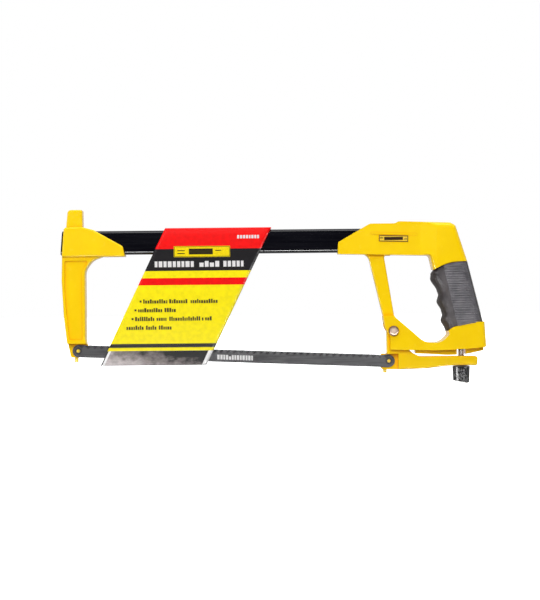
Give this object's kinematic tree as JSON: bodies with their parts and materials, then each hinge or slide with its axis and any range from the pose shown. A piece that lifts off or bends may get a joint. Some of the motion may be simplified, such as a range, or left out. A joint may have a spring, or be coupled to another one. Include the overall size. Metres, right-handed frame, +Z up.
{
  "type": "hacksaw",
  "caption": "Hacksaw with a rectangular tube frame, cast front and handle, rubber grip, tensioning lever with screw and knob, fitted blade and printed card sleeve.",
  "frame": {"origin": "centre of the hand grip, on the saw's middle plane", "axes": "+X runs back along the tube from the front casting to the handle, +Z runs up from the blade to the tube, +Y is the thickness, away from the side that the blade pins stand out on"},
  "size_m": [0.4082, 0.029, 0.1701],
  "materials": {
    "casting_yellow": "gloss powder coat over die-cast aluminium",
    "tube_black": "gloss black paint over drawn aluminium",
    "plug_black": "moulded, matte",
    "pin_painted": "painted with the castings",
    "pin_steel": "plain ground steel",
    "rivet_steel": "polished",
    "rubber_grey": "moulded rubber, fine ribs",
    "screw_zinc": "bright zinc plate",
    "insert_brass": "machined",
    "knob_black": "moulded, glossy",
    "blade_steel": "dark grey enamel on hardened steel",
    "card_print": "printed and varnished card",
    "plate_print": "printed foil with a dark rim"
  },
  "bodies": {
    "frame": {"frame_tube": "tube_black", "tube_end_plug": "plug_black", "front_casting": "casting_yellow", "front_blade_pin": "pin_painted", "front_flush_pin": "pin_painted", "front_socket_pins": "pin_steel", "handle_casting": "casting_yellow", "rubber_grip": "rubber_grey", "rear_socket_pins": "pin_steel", "pivot_rivet": "rivet_steel", "pivot_washers": "pin_steel", "name_plate": "plate_print"},
    "lever": {"tension_lever": "casting_yellow", "rear_blade_pin": "pin_painted", "rear_flush_pin": "pin_painted"},
    "screw": {"tension_screw": "screw_zinc", "screw_trunnion": "screw_zinc"},
    "washer": {"thrust_washer": "screw_zinc"},
    "knob": {"knob_insert": "insert_brass", "knob_body": "knob_black"},
    "blade": {"saw_blade": "blade_steel"},
    "card": {"card_sleeve": "card_print"}
  },
  "joints": [
    {"name": "lever_swing", "type": "hinge", "parent": "frame", "child": "lever", "pos_m": [-0.06245, 0, -0.0373], "axis": [0, 1, 0], "range_deg": [0, 4]},
    {"name": "screw_tilt", "type": "hinge", "parent": "frame", "child": "screw", "pos_m": [0.0032, 0, -0.047], "axis": [0, 1, 0], "range_deg": [0, 5.02]},
    {"name": "knob_travel", "type": "slide", "parent": "screw", "child": "washer", "axis": [0, 0, -1], "range_m": [0, 0.00461]},
    {"name": "knob_turn", "type": "hinge", "parent": "washer", "child": "knob", "pos_m": [0.0032, 0, -0.0793], "axis": [0, 0, -1], "range_deg": [0, 1658.96]},
    {"name": "blade_slack", "type": "slide", "parent": "frame", "child": "blade", "axis": [-1, 0, 0], "range_m": [0, 0.00103]},
    {"name": "card_slide", "type": "slide", "parent": "frame", "child": "card", "axis": [1, 0, 0], "range_m": [-0.009, 0.04]}
  ],
  "couplings": [
    {"joint": "knob_turn", "follows": "knob_travel", "rad_per_m": 6283.2},
    {"joint": "lever_swing", "follows": "knob_travel", "rad_per_m": 15.151},
    {"joint": "screw_tilt", "follows": "knob_travel", "rad_per_m": 19.031},
    {"joint": "blade_slack", "follows": "knob_travel", "ratio": 0.22354}
  ]
}
